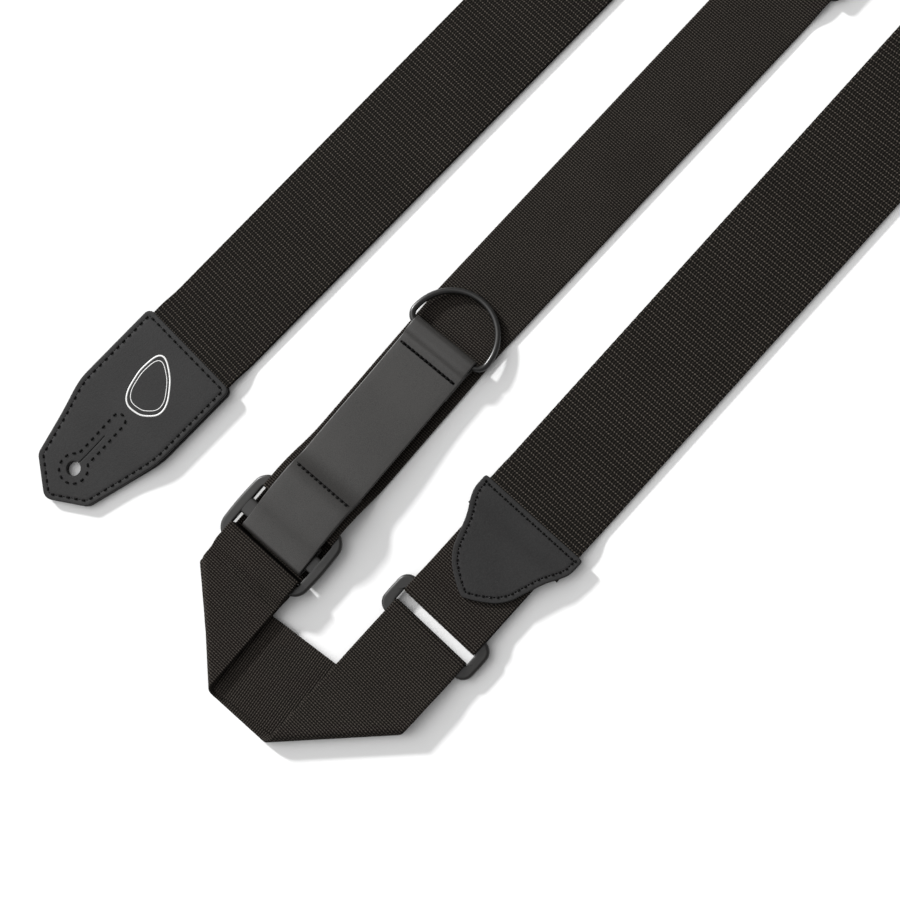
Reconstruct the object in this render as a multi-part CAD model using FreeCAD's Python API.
"""A guitar strap laid flat, as an assembly of separate pieces. Millimetres, +Z up.

The origin is on the axis of the front button hole, at the level of the surface that
the strap lies on. +X runs along the strap's three parallel runs. The wide webbing
leaves the front tab along +X, turns back through two 45 degree folds and ends in the
join shield. A link of narrow webbing holds the loop ring there. The narrow webbing
runs from the rear tab through the slide buckle, over the two laid folds to the ring,
and back under itself to the buckle, where its end is sewn.
"""
import FreeCAD, Part
import math
import os

V = FreeCAD.Vector

# Webbing and leather
WIDE = 50.0                  # wide webbing, across
WIDE_THICK = 1.6
NARROW = 40.0                # narrow webbing, across
NARROW_THICK = 1.3
TAB_LEATHER = 1.5            # one ply of a tab or of the shield
HANDLE_LEATHER = 1.4
HANDLE_WIDTH = 33.4
PLY_GAP = 0.3                # air between plies that slide on each other
SEAT = 0.15                  # webbing or leather round a bar
TAB_MARGIN = 2.0             # tab leather beyond each edge of its webbing

# Where the runs lie
FRONT_ANGLE = -1.45          # front run, degrees from +X
RING_X, RING_Y, RING_ANGLE = 62.0, -164.7, 1.1
BUCKLE_X, BUCKLE_Y, BUCKLE_ANGLE = 44.0, -90.2, 2.5
FOLD_RUN_Y = -130.0
FOLD_RUN_ANGLE = -86.0
FOLD_CLEAR = 3.5             # a run is cut square this far past its fold
TAIL_BEND_X = 165.0          # the tail turns in its plane here to run along +X
TURN_X = 492.0               # middle of the run that crosses at the far end
TURN_ANGLE = -90.2
REAR_HOLE_BEFORE = 56.5      # the rear button hole lies this far before that run's middle
REAR_HOLE_X = TURN_X - REAR_HOLE_BEFORE

# Tabs
FRONT_TAB_LENGTH = 92.4      # straight edge to tip
FRONT_TIP_TO_HOLE = 18.6
REAR_TAB_LENGTH = 80.0
REAR_TIP_TO_HOLE = 16.5
TAB_PARALLEL = 0.48          # share of the length with parallel sides
TAB_NOSE_START = 0.875       # share of the length where the blunt nose begins
TAB_NOSE_WIDTH = 0.63        # width there, as a share of the full width
HOLE_RADIUS = 3.35
SLIT_LENGTH = 20.0           # from the hole's centre
SLIT_WIDTH = 0.6
TAB_WEBBING_INSIDE = 40.0    # webbing between the plies

# Join shield
SHIELD_TIP = 16.6            # from the ring's centre
SHIELD_EDGE = 61.3
SHIELD_WEBBING_MEET = 47.2   # the link and the wide webbing meet here

# Loop ring
RING_LENGTH = 19.2
RING_SIDE = 4.6
RING_BAR = 6.0
RING_THICK = 2.6
SLOT_CLEARANCE = 0.2         # between a webbing edge and a frame's side bar
RING_HINGE = 14.4            # from the ring's centre to where the webbing bends
HINGE_NEAR = 1.4             # plies end this far before a bend
HINGE_FAR = 1.2              # and start this far after it

# Slide buckle
BUCKLE_LENGTH = 34.6
BUCKLE_SIDE = 4.2
BUCKLE_END_BAR = 5.1
BUCKLE_CENTRE_BAR = 7.9
BUCKLE_THICK = 2.6
BUCKLE_CORNER = 7.0
END_LOOP_PAST = 6.1          # the sewn loop ends this far past the end bar
END_LOOP_TAIL = BUCKLE_LENGTH / 2 + END_LOOP_PAST
FOLD_PAST = 11.0             # the run between the folds starts this far past the end bar
FOLD_RUN_X = BUCKLE_X - BUCKLE_LENGTH / 2 - FOLD_PAST - NARROW / 2
OVER_LOOP_START = 1.2        # the threaded webbing starts this far before the end bar
RISE_LEVEL = 0.7             # a fold layer ends level over this length
THROUGH_END = 1.6            # the threaded webbing reaches this far past the far end bar

# Pull handle and D-ring
HANDLE_SWING = 0.9           # the handle lies turned by this much on the buckle, degrees
HANDLE_SHIFT = -0.9          # and off its middle line
HANDLE_LOOP_NEAR = 7.8       # loop end on the fold side, from the buckle's centre
HANDLE_LOOP_FAR = 7.0
HANDLE_HINGE = 8.6
HANDLE_HINGE_Z = 8.0
HANDLE_LEVEL = 4.7           # the handle stays level this far past the buckle
HANDLE_PLY_END = 34.0        # end of its lower ply
HANDLE_PLY_Z = 5.7
HANDLE_MIDDLE = 62.0         # the strap comes down to here, then runs nearly level
HANDLE_MIDDLE_Z = 5.2
HANDLE_END = 110.0
HANDLE_ROW_NEAR = 28.2       # stitch row over the lower ply
HANDLE_ROW_FAR = 13.5        # stitch row, from the handle's end
HANDLE_ROW_INSET = 2.0
DRING_WIRE = 2.8
DRING_WIDTH = 43.4
DRING_DEPTH = 27.6

# Stitches
STITCH_PITCH = 3.7
SHIELD_PITCH = 3.1
STITCH_LENGTH = 2.3
STITCH_WIDE = 0.7
STITCH_THICK = 0.3
STITCH_INSET = 2.4
STITCH_LIFT = 0.12           # rows across a run lie this much higher

# Heights
step = NARROW_THICK + PLY_GAP
fold_low_outer = NARROW_THICK / 2
fold_low_inner = fold_low_outer + step
fold_high_inner = fold_low_outer + 2 * step
fold_high_outer = fold_low_outer + 3 * step
ring_z = RING_THICK / 2 + SEAT + NARROW_THICK + 0.05
buckle_z = BUCKLE_THICK / 2 + SEAT + HANDLE_LEATHER + PLY_GAP + NARROW_THICK + 0.2
over_bar = buckle_z + BUCKLE_THICK / 2 + SEAT + NARROW_THICK / 2
under_bar = 2 * buckle_z - over_bar
over_loop = over_bar + step
link_low = TAB_LEATHER + NARROW_THICK / 2
link_high = link_low + NARROW_THICK
dring_z = step + HANDLE_LEATHER + SEAT + DRING_WIRE / 2

# Bodies' frames: x, y and the angle of +s from +X
FRONT = (0.0, 0.0, FRONT_ANGLE)
RING = (RING_X, RING_Y, RING_ANGLE)
BUCKLE = (BUCKLE_X, BUCKLE_Y, BUCKLE_ANGLE)
HANDLE = (BUCKLE_X - HANDLE_SHIFT * math.sin(math.radians(BUCKLE_ANGLE)),
          BUCKLE_Y + HANDLE_SHIFT * math.cos(math.radians(BUCKLE_ANGLE)), BUCKLE_ANGLE + HANDLE_SWING)
TAIL_Y = BUCKLE_Y + (TAIL_BEND_X - BUCKLE_X) * math.tan(math.radians(BUCKLE_ANGLE))
REAR = (REAR_HOLE_X, TAIL_Y, 180.0)
TAIL = (TAIL_BEND_X, TAIL_Y, 0.0)


def laid(shape, frame):
    """The shape turned to the frame's angle and moved to its place."""
    moved = shape.copy()
    moved.rotate(V(0, 0, 0), V(0, 0, 1), frame[2])
    moved.translate(V(frame[0], frame[1], 0))
    return moved


def fused(shapes):
    """One solid from pieces that touch or overlap."""
    joined = shapes[0]
    for shape in shapes[1:]:
        joined = joined.fuse(shape)
    return joined.removeSplitter()


def rounded_path(points, radius, closed=False):
    """Straight runs through the points, joined by tangent arcs of up to the radius."""
    points = [V(*p) for p in points]
    count = len(points)
    corners = range(count) if closed else range(1, count - 1)
    starts, ends, edges = list(points), list(points), []
    for i in corners:
        here, before, after = points[i], points[i - 1], points[(i + 1) % count]
        along = (here - before).normalize()
        onward = (after - here).normalize()
        half_turn = along.getAngle(onward) / 2
        if half_turn < 1e-4:
            continue
        room = min((here - before).Length, (after - here).Length) * 0.49
        r = min(radius, room / math.tan(half_turn))
        reach = r * math.tan(half_turn)
        inward = (onward - along).normalize()
        starts[i] = here - along * reach
        ends[i] = here + onward * reach
        middle = here + inward * (r / math.cos(half_turn) - r)
        edges.append((i, Part.Arc(starts[i], middle, ends[i]).toShape()))
    arcs = dict(edges)
    path = []
    for i in range(count if closed else count - 1):
        following = (i + 1) % count
        path.append(Part.LineSegment(ends[i], starts[following]).toShape())
        if following in arcs:
            path.append(arcs[following])
    return Part.Wire(path)


def ribbon(profile, thick, width, radius=2.0):
    """A strip whose middle line follows the (s, z) profile, centred across its width."""
    line = rounded_path([(s, 0, z) for s, z in profile], radius)
    section = Part.Face(line.makeOffset2D(thick / 2, 0, False, False))
    strip = section.extrude(V(0, width, 0))
    strip.translate(V(0, -width / 2, 0))
    return strip


def plate(outline, middle_z, thick):
    """A flat plate over a polygon of (x, y) points."""
    low = middle_z - thick / 2
    wire = Part.makePolygon([V(x, y, low) for x, y in outline + outline[:1]])
    return Part.Face(wire).extrude(V(0, 0, thick))


def prism(wire, low, high):
    """The closed wire extruded from one height to another."""
    solid = Part.Face(wire).extrude(V(0, 0, high - low))
    solid.translate(V(0, 0, low))
    return solid


def direction(angle):
    return V(math.cos(math.radians(angle)), math.sin(math.radians(angle)), 0)


def cross_pair(frame, s, width):
    """The two edge points of a run, square across it at the distance s."""
    along = direction(frame[2])
    across = V(-along.y, along.x, 0)
    middle = V(frame[0], frame[1], 0) + along * s
    return [middle + across * (width / 2), middle - across * (width / 2)]


def meeting(point, angle, other, other_angle):
    """Where two lines cross."""
    a, b = direction(angle), direction(other_angle)
    gap = other - point
    reach = (gap.x * b.y - gap.y * b.x) / (a.x * b.y - a.y * b.x)
    return point + a * reach


def crease(point, angle_in, angle_out, width):
    """The fold line that turns a run from one heading to another: its two ends."""
    angle = (angle_in + angle_out) / 2
    half = width / 2 / abs(math.sin(math.radians(angle - angle_in)))
    return [point + direction(angle) * half, point - direction(angle) * half]


def run_plate(pair_a, pair_b, middle_z, thick):
    """A flat run between two pairs of edge points."""
    middle_a = (pair_a[0] + pair_a[1]) * 0.5
    middle_b = (pair_b[0] + pair_b[1]) * 0.5
    heading = middle_b - middle_a
    side = V(-heading.y, heading.x, 0)
    a = sorted(pair_a, key=lambda p: p.dot(side))
    b = sorted(pair_b, key=lambda p: p.dot(side))
    return plate([(p.x, p.y) for p in (a[0], a[1], b[1], b[0])], middle_z, thick)


def fold_edge(ends, heading, low_z, high_z, thick):
    """The half tube round a crease, bulging along the heading of the run that meets it."""
    line = ends[0] - ends[1]
    outward = V(-line.y, line.x, 0).normalize()
    if outward.dot(direction(heading)) < 0:
        outward = outward * -1
    outer = (high_z - low_z + thick) / 2
    inner = outer - thick
    arcs = [Part.Arc(V(0, 0, -outer), V(outer, 0, 0), V(0, 0, outer)).toShape(),
            Part.LineSegment(V(0, 0, outer), V(0, 0, inner)).toShape(),
            Part.Arc(V(0, 0, inner), V(inner, 0, 0), V(0, 0, -inner)).toShape(),
            Part.LineSegment(V(0, 0, -inner), V(0, 0, -outer)).toShape()]
    tube = Part.Face(Part.Wire(arcs)).extrude(V(0, line.Length, 0))
    tube.translate(V(0, -line.Length / 2, (high_z + low_z) / 2))
    middle = (ends[0] + ends[1]) * 0.5
    return laid(tube, (middle.x, middle.y, math.degrees(math.atan2(outward.y, outward.x))))


def height_on(profile, s, thick):
    """Top of a ply at the distance s, from its middle line."""
    for (s0, z0), (s1, z1) in zip(profile, profile[1:]):
        if s0 <= s <= s1:
            return z0 + (z1 - z0) * (s - s0) / (s1 - s0) + thick / 2
    nearest = profile[0] if s < profile[0][0] else profile[-1]
    return nearest[1] + thick / 2


def stitches(wire, pitch, top):
    """Short raised stitches spaced along a wire, lying on the surface that top(s) gives."""
    count = max(2, round(wire.Length / pitch))
    places = wire.discretize(Number=count * 2 + 1)
    solids = []
    for i in range(1, len(places) - 1, 2):
        here = places[i]
        heading = (places[i + 1] - places[i - 1]).normalize()
        a = here - heading * (STITCH_LENGTH / 2)
        b = here + heading * (STITCH_LENGTH / 2)
        a.z, b.z = top(a.x), top(b.x)
        along = (b - a).normalize()
        bead = Part.makeBox(STITCH_LENGTH, STITCH_WIDE, STITCH_THICK)
        bead.translate(V(-STITCH_LENGTH / 2, -STITCH_WIDE / 2, 0.06))
        pitch_angle = math.degrees(math.asin(along.z))
        bead.rotate(V(0, 0, 0), V(0, 1, 0), -pitch_angle)
        bead.rotate(V(0, 0, 0), V(0, 0, 1), math.degrees(math.atan2(along.y, along.x)))
        bead.translate((a + b) * 0.5)
        solids.append(bead)
    return Part.makeCompound(solids)


def tab_outline(length, tip_to_hole, width, inset=0.0):
    """The tab's outline about its hole, with the straight edge towards +s."""
    edge = length - tip_to_hole - inset
    half = width / 2 - inset
    shoulder = edge + inset - length * TAB_PARALLEL
    nose = edge + inset - length * TAB_NOSE_START
    nose_half = width / 2 * TAB_NOSE_WIDTH - inset * 0.8
    points = [(edge, half), (shoulder, half), (nose, nose_half), (inset - tip_to_hole, 0),
              (nose, -nose_half), (shoulder, -half), (edge, -half)]
    return rounded_path([(s, w, 0) for s, w in points], 3.0, closed=True)


def tab(frame, length, tip_to_hole, webbing_width, webbing_thick):
    """Two leather plies over a webbing end, with a button hole, a slit and their stitching."""
    width = webbing_width + 2 * TAB_MARGIN
    outline = tab_outline(length, tip_to_hole, width)
    edge = length - tip_to_hole
    covered = edge - TAB_WEBBING_INSIDE
    high = TAB_LEATHER * 1.5 + webbing_thick
    low = TAB_LEATHER * 1.5
    profile = [(-tip_to_hole - 2, low), (covered - 9, low), (covered - 1.5, high), (edge + 2, high)]
    hole = Part.makeCylinder(HOLE_RADIUS, 20, V(0, 0, -5))
    slit = Part.makeBox(SLIT_LENGTH, SLIT_WIDTH, 20, V(0, -SLIT_WIDTH / 2, -5))
    back = prism(outline, 0, TAB_LEATHER).cut(hole).cut(slit)
    top = ribbon(profile, TAB_LEATHER, width + 10, 6.0)
    top = top.common(prism(outline, -1, 20)).cut(hole).cut(slit)

    def surface(s):
        return height_on(profile, s, TAB_LEATHER)

    edge_line = tab_outline(length, tip_to_hole, width, STITCH_INSET)
    ring = HOLE_RADIUS + 3.4
    half_slot = 3.3
    reach = math.sqrt(ring ** 2 - half_slot ** 2)
    slot_end = SLIT_LENGTH + 9.0
    keyhole = Part.Wire([
        Part.LineSegment(V(slot_end, half_slot, 0), V(reach, half_slot, 0)).toShape(),
        Part.Arc(V(reach, half_slot, 0), V(-ring, 0, 0), V(reach, -half_slot, 0)).toShape(),
        Part.LineSegment(V(reach, -half_slot, 0), V(slot_end, -half_slot, 0)).toShape(),
        Part.Arc(V(slot_end, -half_slot, 0), V(slot_end + half_slot, 0, 0),
                 V(slot_end, half_slot, 0)).toShape()])
    edge_stitches = stitches(edge_line, STITCH_PITCH, surface)
    hole_stitches = stitches(keyhole, STITCH_PITCH, surface)
    return [laid(s, frame) for s in (top, back, edge_stitches, hole_stitches)]


def shield_outline(inset=0.0):
    """The shield about the ring's centre: a straight edge, S-curved sides and a point."""
    half = WIDE / 2 + TAB_MARGIN - inset
    waist = half * 0.73
    edge = SHIELD_EDGE - inset
    tip = SHIELD_TIP + inset * 1.1
    length = SHIELD_EDGE - SHIELD_TIP
    upper = [V(edge, half, 0), V(edge - 0.16 * length, half, 0), V(edge - 0.40 * length, half * 0.79, 0),
             V(edge - 0.60 * length, waist * 0.88, 0), V(edge - 0.86 * length, half * 0.34, 0),
             V(tip, 0, 0)]
    lower = [V(p.x, -p.y, 0) for p in reversed(upper)]
    sides = []
    for points in (upper[1:], lower[:-1]):
        curve = Part.BSplineCurve()
        curve.interpolate(points)
        sides.append(curve.toShape())
    straight = [Part.LineSegment(upper[0], upper[1]).toShape(),
                Part.LineSegment(lower[-2], lower[-1]).toShape(),
                Part.LineSegment(lower[-1], upper[0]).toShape()]
    return Part.Wire(Part.sortEdges([straight[0], sides[0], sides[1], straight[1], straight[2]])[0])


def frame_plate(length, width, thick, corner, windows, centre_z):
    """A flat moulded frame with rounded corners and windows, edges eased."""
    corners = [(length / 2, width / 2), (-length / 2, width / 2),
               (-length / 2, -width / 2), (length / 2, -width / 2)]
    outer = rounded_path([(s, w, 0) for s, w in corners], corner, closed=True)
    body = prism(outer, centre_z - thick / 2, centre_z + thick / 2)
    for low, high, half in windows:
        body = body.cut(Part.makeBox(high - low, 2 * half, 4 * thick, V(low, -half, centre_z - 2 * thick)))
    return body.makeFillet(0.7, body.Edges)


def bar_loop(bar_near, bar_far, bar_thick, centre_z, start_s, low_z, high_z, thick, width):
    """Webbing that comes along a low ply, wraps a bar and goes back along a high ply."""
    sign = 1 if bar_far > bar_near else -1
    turn = bar_far + sign * (SEAT + thick / 2)
    drop = bar_thick / 2 + SEAT + thick / 2
    profile = [(start_s, low_z), (bar_near - sign * 0.4, centre_z - drop), (turn, centre_z - drop),
               (turn, centre_z + drop), (bar_near - sign * 0.4, centre_z + drop), (start_s, high_z)]
    return ribbon(profile, thick, width, thick * 0.85)


def main_webbing():
    """The wide webbing: front run, crossing run and shield run, with two 45 degree folds."""
    floor = WIDE_THICK / 2
    raised = floor + WIDE_THICK + PLY_GAP
    in_tab = TAB_LEATHER + floor
    edge = FRONT_TAB_LENGTH - FRONT_TIP_TO_HOLE
    origin = V(0, 0, 0)
    crossing = V(TURN_X, 0, 0)
    corner_a = meeting(origin, FRONT_ANGLE, crossing, TURN_ANGLE)
    corner_b = meeting(V(RING_X, RING_Y, 0), RING_ANGLE, crossing, TURN_ANGLE)
    ends_a = crease(corner_a, FRONT_ANGLE, TURN_ANGLE, WIDE)
    ends_b = crease(corner_b, TURN_ANGLE, 180 + RING_ANGLE, WIDE)
    reach_a = corner_a.Length - WIDE / 2 - 3
    reach_b = (corner_b - V(RING_X, RING_Y, 0)).Length - WIDE / 2 - 3
    front = [(edge - TAB_WEBBING_INSIDE, in_tab), (edge + 3, in_tab), (edge + 16, floor),
             (reach_a - 18, floor), (reach_a - 4, raised), (reach_a + 2, raised)]
    shield = [(SHIELD_WEBBING_MEET + floor, in_tab), (SHIELD_EDGE + 3, in_tab),
              (SHIELD_EDGE + 16, floor), (reach_b - 18, floor), (reach_b - 4, raised),
              (reach_b + 2, raised)]
    return fused([
        laid(ribbon(front, WIDE_THICK, WIDE, 20.0), FRONT),
        run_plate(cross_pair(FRONT, reach_a, WIDE), ends_a, raised, WIDE_THICK),
        fold_edge(ends_a, FRONT_ANGLE, floor, raised, WIDE_THICK),
        run_plate(ends_a, ends_b, floor, WIDE_THICK),
        fold_edge(ends_b, RING_ANGLE, floor, raised, WIDE_THICK),
        run_plate(ends_b, cross_pair(RING, reach_b, WIDE), raised, WIDE_THICK),
        laid(ribbon(shield, WIDE_THICK, WIDE, 20.0), RING)])


def folded_webbing(low, high, ring_mid, buckle_end, buckle_rise):
    """One layer of the narrow webbing through the two laid folds, ring to buckle."""
    ring_point = V(RING_X, RING_Y, 0)
    buckle_point = V(BUCKLE_X, BUCKLE_Y, 0)
    run_point = V(FOLD_RUN_X, FOLD_RUN_Y, 0)
    corner_1 = meeting(buckle_point, BUCKLE_ANGLE, run_point, FOLD_RUN_ANGLE)
    corner_2 = meeting(ring_point, RING_ANGLE, run_point, FOLD_RUN_ANGLE)
    ends_1 = crease(corner_1, 180 + BUCKLE_ANGLE, FOLD_RUN_ANGLE, NARROW)
    ends_2 = crease(corner_2, FOLD_RUN_ANGLE, RING_ANGLE, NARROW)
    cut_1 = NARROW / 2 + FOLD_CLEAR - (corner_1 - buckle_point).Length
    cut_2 = NARROW / 2 + FOLD_CLEAR - (corner_2 - ring_point).Length
    start = -(RING_HINGE + HINGE_FAR) - NARROW_THICK / 2
    ring_run = [(cut_2 - 2.0, high), (cut_2 + 1.0, high), (cut_2 + 20.0, ring_mid), (start, ring_mid)]
    end_s, end_z = buckle_rise
    buckle_run = [(cut_1 - 2.0, high), (cut_1 + 1.0, high), (end_s, end_z), (buckle_end, end_z)]
    return fused([
        laid(ribbon(buckle_run, NARROW_THICK, NARROW, 4.0), BUCKLE),
        run_plate(cross_pair(BUCKLE, cut_1, NARROW), ends_1, high, NARROW_THICK),
        fold_edge(ends_1, 180 + BUCKLE_ANGLE, low, high, NARROW_THICK),
        run_plate(ends_1, ends_2, low, NARROW_THICK),
        fold_edge(ends_2, FOLD_RUN_ANGLE, low, high, NARROW_THICK),
        run_plate(ends_2, cross_pair(RING, cut_2, NARROW), high, NARROW_THICK),
        laid(ribbon(ring_run, NARROW_THICK, NARROW, 8.0), RING)])


def narrow_strap_parts():
    """The narrow webbing and the ring that it passes round."""
    ring_width = NARROW + 2 * (SLOT_CLEARANCE + RING_SIDE)
    window = RING_LENGTH / 2 - RING_BAR
    ring = frame_plate(RING_LENGTH, ring_width, RING_THICK, 5.0,
                       [(-window, window, NARROW / 2 + SLOT_CLEARANCE)], ring_z)
    end = RING_HINGE - HINGE_NEAR - NARROW_THICK / 2
    outer_edge = RING_LENGTH / 2
    link_loop = bar_loop(outer_edge, window, RING_THICK, ring_z, end, link_low - 0.05, link_high + 0.05,
                         NARROW_THICK, NARROW)
    strap_low = ring_z - step / 2
    strap_high = ring_z + step / 2
    strap_loop = bar_loop(-outer_edge, -window, RING_THICK, ring_z, -end, strap_low, strap_high,
                          NARROW_THICK, NARROW)
    bar_outer = BUCKLE_LENGTH / 2
    outer_end = -bar_outer - OVER_LOOP_START - HINGE_FAR - NARROW_THICK / 2
    inner_end = -END_LOOP_TAIL - HINGE_NEAR - NARROW_THICK / 2
    outer = folded_webbing(fold_low_outer, fold_high_outer, strap_high, outer_end,
                           (outer_end - RISE_LEVEL, over_loop))
    inner = folded_webbing(fold_low_inner, fold_high_inner, strap_low, inner_end,
                           (inner_end - RISE_LEVEL, fold_high_inner))
    link = run_plate(cross_pair(RING, RING_HINGE + HINGE_FAR, NARROW),
                     cross_pair(RING, SHIELD_WEBBING_MEET - PLY_GAP, NARROW),
                     TAB_LEATHER + NARROW_THICK, 2 * NARROW_THICK)
    return {"loop_ring": laid(ring, RING), "link_loop": laid(link_loop, RING),
            "strap_loop": laid(strap_loop, RING), "outer_fold_webbing": outer,
            "inner_fold_webbing": inner, "link_webbing": link}


def shield_parts():
    """Two leather shields that cover where the link is sewn to the wide webbing."""
    over_link = TAB_LEATHER * 1.5 + 2 * NARROW_THICK
    over_wide = TAB_LEATHER * 1.5 + WIDE_THICK
    profile = [(SHIELD_TIP - 2, over_link), (SHIELD_WEBBING_MEET + 0.8, over_link),
               (SHIELD_WEBBING_MEET + 7.8, over_wide), (SHIELD_EDGE + 2, over_wide)]
    outline = shield_outline()
    top = ribbon(profile, TAB_LEATHER, WIDE + 20, 8.0).common(prism(outline, -1, 20))
    back = prism(outline, 0, TAB_LEATHER)
    line = shield_outline(STITCH_INSET)

    def surface(s):
        return height_on(profile, s, TAB_LEATHER)

    beads = stitches(line, SHIELD_PITCH, surface)
    return {"join_shield_top": laid(top, RING), "join_shield_back": laid(back, RING),
            "join_shield_stitching": laid(beads, RING)}


def buckle_parts():
    """The slide buckle, the webbing threaded through it and the end sewn round its bar."""
    half_length = BUCKLE_LENGTH / 2
    half_slot = NARROW / 2 + SLOT_CLEARANCE
    half_bar = BUCKLE_CENTRE_BAR / 2
    bar_inner = half_length - BUCKLE_END_BAR
    width = 2 * (half_slot + BUCKLE_SIDE)
    windows = [(half_bar, bar_inner, half_slot), (-bar_inner, -half_bar, half_slot)]
    buckle = frame_plate(BUCKLE_LENGTH, width, BUCKLE_THICK, BUCKLE_CORNER, windows, buckle_z)
    loop_skin = SEAT + NARROW_THICK
    near_fall = -bar_inner + loop_skin + PLY_GAP + NARROW_THICK / 2
    far_fall = bar_inner - SEAT - NARROW_THICK / 2
    under = NARROW_THICK / 2 + 0.1
    through = [(-half_length - OVER_LOOP_START, over_loop), (near_fall, over_loop), (near_fall, under),
               (far_fall, under), (far_fall, over_bar), (half_length + THROUGH_END, over_bar)]
    threaded = ribbon(through, NARROW_THICK, NARROW, 1.1)
    low_tail = fold_high_inner
    end_loop = bar_loop(-half_length, -bar_inner, BUCKLE_THICK, buckle_z, -END_LOOP_TAIL,
                        low_tail, low_tail + NARROW_THICK + 0.1, NARROW_THICK, NARROW)
    row_s = -END_LOOP_TAIL + 1.6
    row = Part.Wire([Part.LineSegment(V(row_s, -NARROW / 2 + 3, 0), V(row_s, NARROW / 2 - 3, 0)).toShape()])
    back_ply = [(-END_LOOP_TAIL, low_tail + NARROW_THICK), (-half_length - 0.4, over_bar)]

    def surface(s):
        return height_on(back_ply, s, NARROW_THICK) + STITCH_LIFT

    row_stitches = stitches(row, SHIELD_PITCH, surface)
    loop_drop = BUCKLE_THICK / 2 + SEAT + HANDLE_LEATHER / 2
    near = -HANDLE_LOOP_NEAR + HANDLE_LEATHER / 2
    far = HANDLE_LOOP_FAR - HANDLE_LEATHER / 2
    corners = [(near, loop_drop), (near, -loop_drop), (far, -loop_drop), (far, loop_drop)]
    line = rounded_path([(s, 0, buckle_z + z) for s, z in corners], loop_drop * 0.95, closed=True)
    outside = Part.Face(line.makeOffset2D(HANDLE_LEATHER / 2))
    inside = Part.Face(line.makeOffset2D(-HANDLE_LEATHER / 2))
    handle_loop = outside.cut(inside).extrude(V(0, HANDLE_WIDTH, 0))
    handle_loop.translate(V(0, -HANDLE_WIDTH / 2, 0))
    return {"slide_buckle": laid(buckle, BUCKLE), "threaded_webbing": laid(threaded, BUCKLE),
            "end_loop_webbing": laid(end_loop, BUCKLE), "end_loop_stitching": laid(row_stitches, BUCKLE),
            "handle_loop": laid(handle_loop, HANDLE)}


def handle_parts():
    """The leather pull handle: one strap with a ply turned back at each end."""
    top_over = over_bar + NARROW_THICK / 2 + PLY_GAP + HANDLE_LEATHER * 1.5
    low_over = top_over - HANDLE_LEATHER
    start = HANDLE_HINGE + HINGE_FAR + HANDLE_LEATHER / 2
    bar_s = HANDLE_END - HANDLE_LEATHER - SEAT - DRING_WIRE / 2
    wrap = DRING_WIRE / 2 + SEAT + HANDLE_LEATHER / 2
    turn = bar_s + wrap
    level_end = BUCKLE_LENGTH / 2 + HANDLE_LEVEL
    row = HANDLE_END - HANDLE_ROW_FAR
    half_pair = HANDLE_LEATHER / 2 + 0.1
    top_line = [(start, top_over), (level_end, top_over),
                (HANDLE_PLY_END + 2, HANDLE_PLY_Z + HANDLE_LEATHER / 2),
                (HANDLE_MIDDLE, HANDLE_MIDDLE_Z),
                (row - 4, dring_z + half_pair), (row + 3, dring_z + half_pair),
                (bar_s - 1.5, dring_z + wrap), (turn, dring_z + wrap), (turn, dring_z - wrap),
                (bar_s - 1.5, dring_z - wrap), (row + 3, dring_z - half_pair),
                (row - 8, dring_z - half_pair)]
    low_line = [(start, low_over), (level_end, low_over), (HANDLE_PLY_END, HANDLE_PLY_Z)]
    leather = fused([ribbon(top_line, HANDLE_LEATHER, HANDLE_WIDTH, wrap),
                     ribbon(low_line, HANDLE_LEATHER + 0.1, HANDLE_WIDTH, wrap)])
    pieces = {"handle_leather": leather}

    def surface(s):
        return height_on(top_line[:6], s, HANDLE_LEATHER) + STITCH_LIFT

    reach = HANDLE_WIDTH / 2 - HANDLE_ROW_INSET
    for name, s in {"handle_buckle_stitches": HANDLE_ROW_NEAR, "handle_ring_stitches": row}.items():
        line = Part.Wire([Part.LineSegment(V(s, -reach, 0), V(s, reach, 0)).toShape()])
        pieces[name] = stitches(line, SHIELD_PITCH, surface)
    return {name: laid(piece, HANDLE) for name, piece in pieces.items()}


def d_ring():
    """A round wire bent to a D, its flat bar in the handle's end and its bow lying down."""
    r = DRING_WIRE / 2
    half = DRING_WIDTH / 2 - r
    corner = DRING_DEPTH - DRING_WIRE - half
    bar_end = half - corner
    pieces = [Part.makeCylinder(r, 2 * bar_end, V(0, -bar_end, 0), V(0, 1, 0))]
    for side in (1, -1):
        bend = Part.makeTorus(corner, r, V(0, 0, 0), V(0, 0, 1), -180, 180, 90)
        bend.rotate(V(0, 0, 0), V(0, 0, 1), 90 if side > 0 else 180)
        bend.translate(V(corner, side * bar_end, 0))
        pieces.append(bend)
    bow = Part.makeTorus(half, r, V(0, 0, 0), V(0, 0, 1), -180, 180, 180)
    bow.rotate(V(0, 0, 0), V(0, 0, 1), -90)
    bow.translate(V(corner, 0, 0))
    ring = fused(pieces + [bow])
    rest_z = step + r
    tilt = math.degrees(math.asin((dring_z - rest_z - 0.1) / (DRING_DEPTH - DRING_WIRE)))
    ring.rotate(V(0, 0, 0), V(0, 1, 0), tilt)
    ring.translate(V(HANDLE_END - HANDLE_LEATHER - SEAT - r, 0, dring_z))
    return laid(ring, HANDLE)


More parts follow.
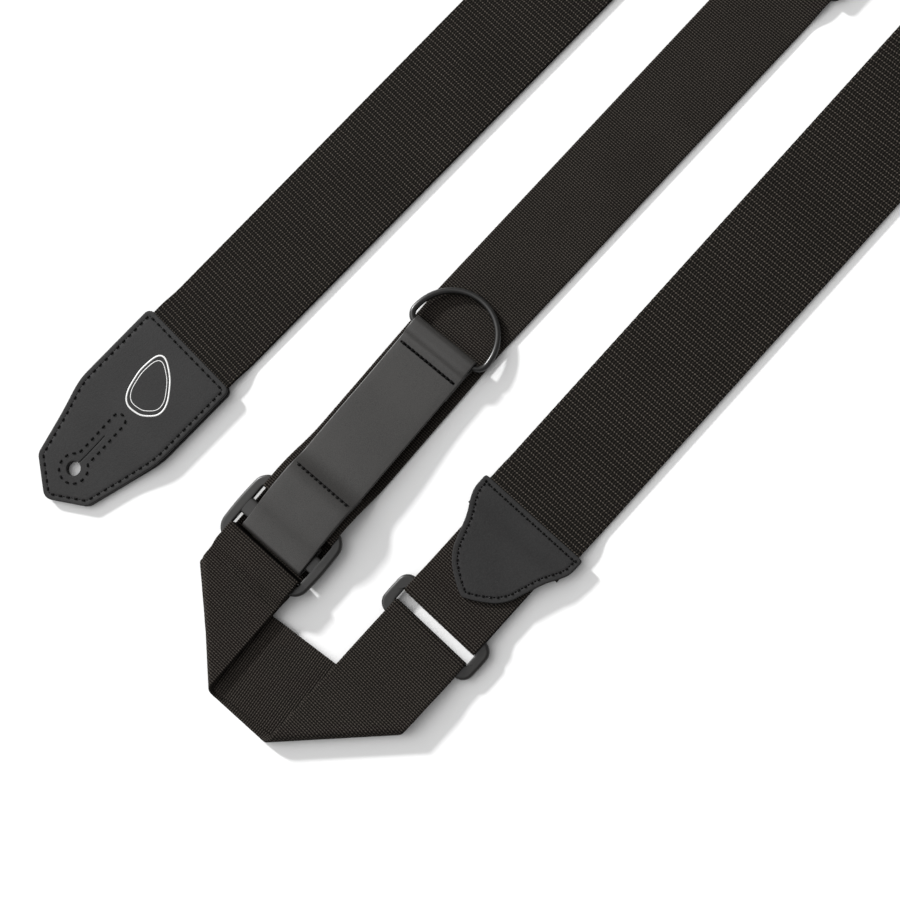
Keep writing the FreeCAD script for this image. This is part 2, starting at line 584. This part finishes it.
def tail_webbing():
    """The narrow webbing from the slide buckle to the rear tab."""
    floor = NARROW_THICK / 2
    bar_outer = BUCKLE_LENGTH / 2
    bend = (TAIL_BEND_X - BUCKLE_X) / math.cos(math.radians(BUCKLE_ANGLE))
    rear_edge = REAR_HOLE_X - (REAR_TAB_LENGTH - REAR_TIP_TO_HOLE) - TAIL_BEND_X
    in_tab = TAB_LEATHER + floor
    start = bar_outer + THROUGH_END + NARROW_THICK
    near = [(start, over_bar), (start + 1.6, over_bar), (bar_outer + 20.0, floor), (bend - 6.0, floor)]
    far = [(6.0, floor), (rear_edge - 16.0, floor), (rear_edge - 3.0, in_tab),
           (rear_edge + TAB_WEBBING_INSIDE - 6.0, in_tab)]
    bend_plate = run_plate(cross_pair(BUCKLE, bend - 8.0, NARROW), cross_pair(TAIL, 8.0, NARROW),
                           floor, NARROW_THICK)
    return fused([laid(ribbon(near, NARROW_THICK, NARROW, 8.0), BUCKLE), bend_plate,
                  laid(ribbon(far, NARROW_THICK, NARROW, 20.0), TAIL)])


def all_parts():
    """Every named piece of the strap."""
    parts = {"main_webbing": main_webbing(), "d_ring": d_ring(), "tail_webbing": tail_webbing()}
    tabs = {"front_tab": (FRONT, FRONT_TAB_LENGTH, FRONT_TIP_TO_HOLE, WIDE, WIDE_THICK),
            "rear_tab": (REAR, REAR_TAB_LENGTH, REAR_TIP_TO_HOLE, NARROW, NARROW_THICK)}
    for name, sizes in tabs.items():
        pieces = tab(*sizes)
        for ending, piece in zip(("top", "back", "edge_stitching", "keyhole_stitching"), pieces):
            parts[name + "_" + ending] = piece
    parts.update(shield_parts())
    parts.update(narrow_strap_parts())
    parts.update(buckle_parts())
    parts.update(handle_parts())
    return parts


os.makedirs("parts", exist_ok=True)
for node, shape in all_parts().items():
    box = shape.BoundBox
    print(f"{node:26s} solids {len(shape.Solids):3d} valid {shape.isValid()} volume {shape.Volume:9.1f}"
          f"  x {box.XMin:7.1f} {box.XMax:7.1f}  y {box.YMin:7.1f} {box.YMax:7.1f}"
          f"  z {box.ZMin:5.2f} {box.ZMax:5.2f}")
    shape.exportStep(os.path.join("parts", node + ".step"))
